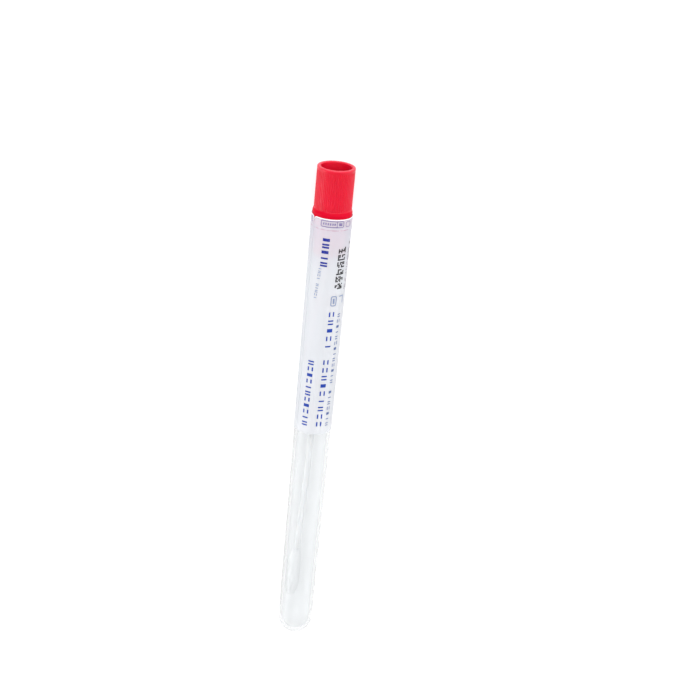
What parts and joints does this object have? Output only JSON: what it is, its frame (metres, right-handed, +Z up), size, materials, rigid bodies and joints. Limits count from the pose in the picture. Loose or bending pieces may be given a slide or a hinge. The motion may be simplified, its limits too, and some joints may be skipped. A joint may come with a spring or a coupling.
{
  "type": "specimen swab tube",
  "caption": "Round-ended clear plastic tube with a red push-in cap that carries a fibre swab; a printed label wraps the tube and seals the cap's joint.",
  "frame": {"origin": "under the middle of the whole length, on the surface that the tube lies on", "axes": "+X along the tube from the round end to the cap, +Z up, +Y the side the swab leans to"},
  "size_m": [0.168, 0.0128, 0.0128],
  "materials": {
    "tube_plastic": "clear to faintly milky moulded plastic, smooth gloss",
    "cap_plastic": "red moulded plastic, satin gloss, fine straight grip ribs",
    "stick_plastic": "white moulded plastic, satin",
    "bud_fibre": "wound white fibre, soft and matt",
    "label_film": "white film with blue and black print, satin"
  },
  "bodies": {
    "tube": {"tube": "tube_plastic", "label": "label_film"},
    "cap": {"cap": "cap_plastic", "swab_shaft": "stick_plastic", "swab_bud": "bud_fibre"}
  },
  "joints": [
    {"name": "cap_pull", "type": "slide", "parent": "tube", "child": "cap", "axis": [1, 0, 0], "range_m": [0, 0.14]}
  ]
}
